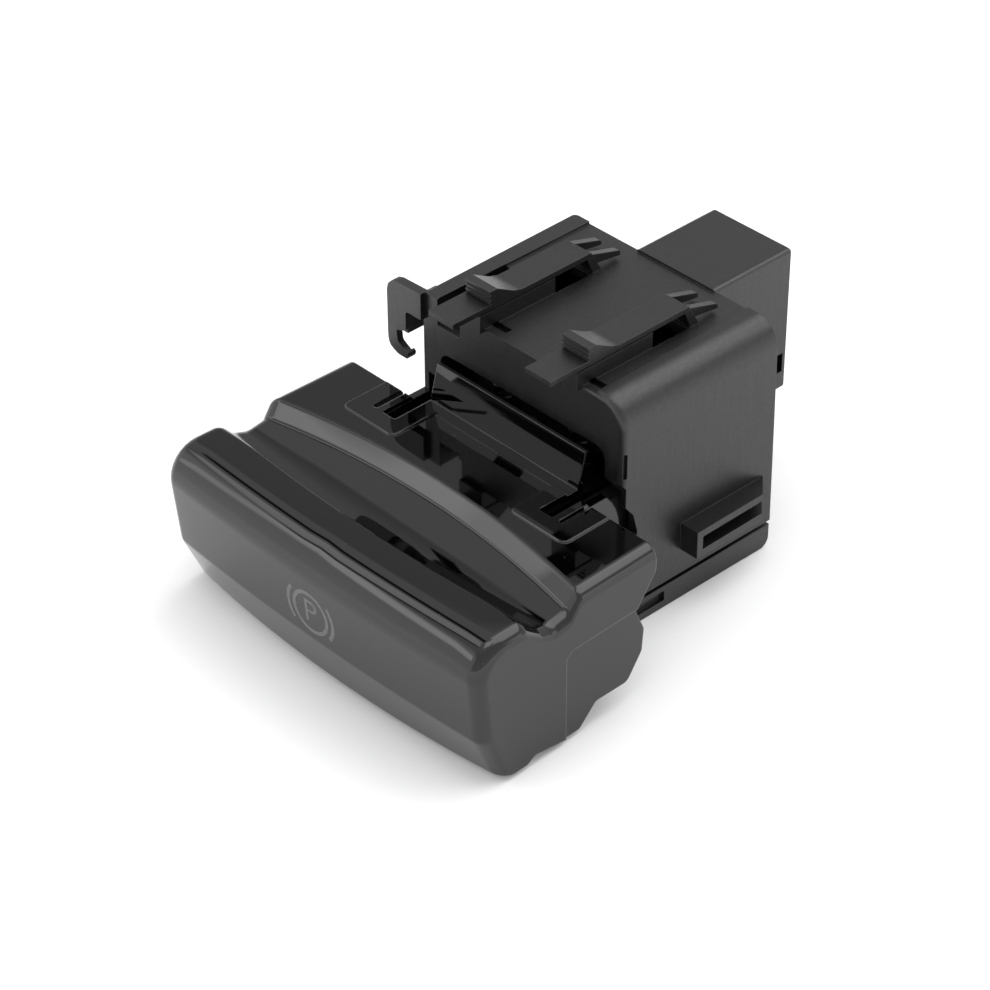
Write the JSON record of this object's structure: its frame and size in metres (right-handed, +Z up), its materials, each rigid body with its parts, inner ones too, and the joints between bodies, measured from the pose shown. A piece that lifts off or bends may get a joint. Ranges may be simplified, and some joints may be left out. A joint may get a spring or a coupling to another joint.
{
  "type": "electric parking brake switch",
  "caption": "Gloss paddle that rocks up and down on a matt housing with snap latches, a hook, a side clip and a rear connector shroud.",
  "frame": {"origin": "centre of the housing's footprint, on the flat underside of its base cover", "axes": "+X across the paddle to the side clip, +Y from the paddle to the connector, +Z up"},
  "size_m": [0.067, 0.0891, 0.0463],
  "materials": {
    "gloss_black": "piano-black gloss plastic",
    "matt_black": "fine-grained matt black plastic",
    "inner_black": "plain black moulded plastic",
    "clear_guide": "clear moulded light guide",
    "steel": "bright drawn steel",
    "black_wire": "blackened spring steel",
    "tinned_brass": "tinned brass",
    "board_green": "green solder resist",
    "switch_ivory": "ivory plastic",
    "lamp_white": "white lamp body"
  },
  "bodies": {
    "housing": {"housing_shell": "matt_black", "base_cover": "matt_black", "pivot_carrier": "inner_black", "pivot_pin_left": "steel", "pivot_pin_right": "steel", "lower_spring_left": "black_wire", "lower_spring_right": "black_wire", "upper_spring_left": "black_wire", "upper_spring_right": "black_wire", "circuit_board": "board_green", "terminal_block": "inner_black", "upper_switch": "inner_black", "lower_switch": "inner_black", "control_chip": "inner_black", "terminal_01": "tinned_brass", "terminal_02": "tinned_brass", "terminal_03": "tinned_brass", "terminal_04": "tinned_brass", "terminal_05": "tinned_brass", "terminal_06": "tinned_brass", "terminal_07": "tinned_brass", "terminal_08": "tinned_brass", "terminal_09": "tinned_brass", "terminal_10": "tinned_brass"},
    "paddle": {"paddle_shell": "gloss_black", "rocker_lever": "inner_black", "symbol_light_guide": "clear_guide", "indicator_lamp": "lamp_white"},
    "upper_plunger": {"upper_plunger": "switch_ivory"},
    "lower_plunger": {"lower_plunger": "switch_ivory"}
  },
  "joints": [
    {"name": "paddle_rock", "type": "hinge", "parent": "housing", "child": "paddle", "pos_m": [0, -0.0248, 0.0181], "axis": [1, 0, 0], "range_deg": [-4, 4], "stiffness_Nm_per_rad": 3, "deforming": ["lower_spring_left", "lower_spring_right", "upper_spring_left", "upper_spring_right"]},
    {"name": "upper_plunger_slide", "type": "slide", "parent": "housing", "child": "upper_plunger", "axis": [0, 0, 1], "range_m": [-0.0016, 0.0016]},
    {"name": "lower_plunger_slide", "type": "slide", "parent": "housing", "child": "lower_plunger", "axis": [0, 0, 1], "range_m": [-0.0016, 0.0016]}
  ],
  "couplings": [
    {"joint": "upper_plunger_slide", "follows": "paddle_rock", "m_per_rad": 0.0224},
    {"joint": "lower_plunger_slide", "follows": "paddle_rock", "m_per_rad": 0.0224}
  ]
}
